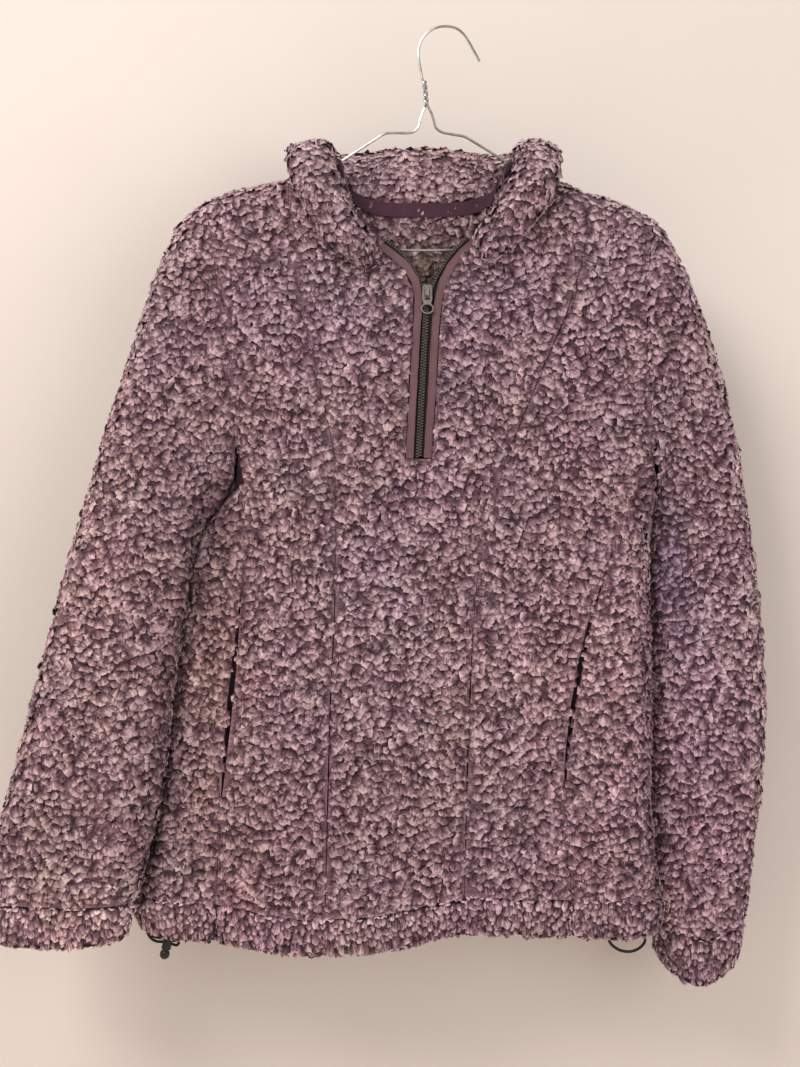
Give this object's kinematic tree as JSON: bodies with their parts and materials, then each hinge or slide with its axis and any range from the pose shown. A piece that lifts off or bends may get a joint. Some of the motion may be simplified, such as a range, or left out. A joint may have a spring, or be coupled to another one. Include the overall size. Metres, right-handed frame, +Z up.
{
  "type": "zip fleece pullover on a wire hanger",
  "caption": "Quarter-zip sherpa fleece pullover with rolled collar, princess seams, seam pockets and cord-drawn hem, hanging flat on a twisted wire hanger.",
  "frame": {"origin": "the inside of the crest of the hanger's hook, where it hangs on a rod or nail", "axes": "+Z up, the garment's front faces -Y, +X is to the right of someone who looks at the front"},
  "size_m": [0.715, 0.114, 0.8889],
  "materials": {
    "sherpa_fleece": "curly plum pile with pale mauve tips",
    "plum_tape": "woven tape",
    "pocket_lining": "smooth knit",
    "antique_nickel": "warm dulled nickel",
    "galvanised_wire": "satin galvanised wire",
    "black_elastic": "braided elastic",
    "black_plastic": "moulded"
  },
  "bodies": {
    "garment": {"back": "sherpa_fleece", "collar": "sherpa_fleece", "cord_lock_barrel": "black_plastic", "cuff_left": "sherpa_fleece", "cuff_right": "sherpa_fleece", "drawcord_left": "black_elastic", "drawcord_right": "black_elastic", "front_centre": "sherpa_fleece", "front_side_left": "sherpa_fleece", "front_side_right": "sherpa_fleece", "hanger_arm_left": "galvanised_wire", "hanger_arm_right": "galvanised_wire", "hanger_bar": "galvanised_wire", "hanger_hook": "galvanised_wire", "hem_band_back": "sherpa_fleece", "hem_band_centre": "sherpa_fleece", "hem_band_left": "sherpa_fleece", "hem_band_right": "sherpa_fleece", "neck_tape": "plum_tape", "pocket_bag_left": "pocket_lining", "pocket_bag_right": "pocket_lining", "side_panel_left": "sherpa_fleece", "side_panel_right": "sherpa_fleece", "sleeve_left": "sherpa_fleece", "sleeve_right": "sherpa_fleece", "zip_facing_left": "plum_tape", "zip_facing_right": "plum_tape", "zip_slider": "antique_nickel", "zip_tape_left": "plum_tape", "zip_tape_right": "plum_tape"},
    "zip_pull": {"zip_pull": "antique_nickel"},
    "plunger": {"cord_lock_plunger": "black_plastic"}
  },
  "joints": [
    {"name": "zip_pull", "type": "hinge", "parent": "garment", "child": "zip_pull", "pos_m": [-0.0187, -0.0268, -0.246], "axis": [-1, 0, 0], "range_deg": [0, 150]},
    {"name": "cord_lock_plunger", "type": "slide", "parent": "garment", "child": "plunger", "axis": [0.225, 0, 0.9744], "range_m": [0, 0.0016], "stiffness_N_per_m": 300}
  ]
}
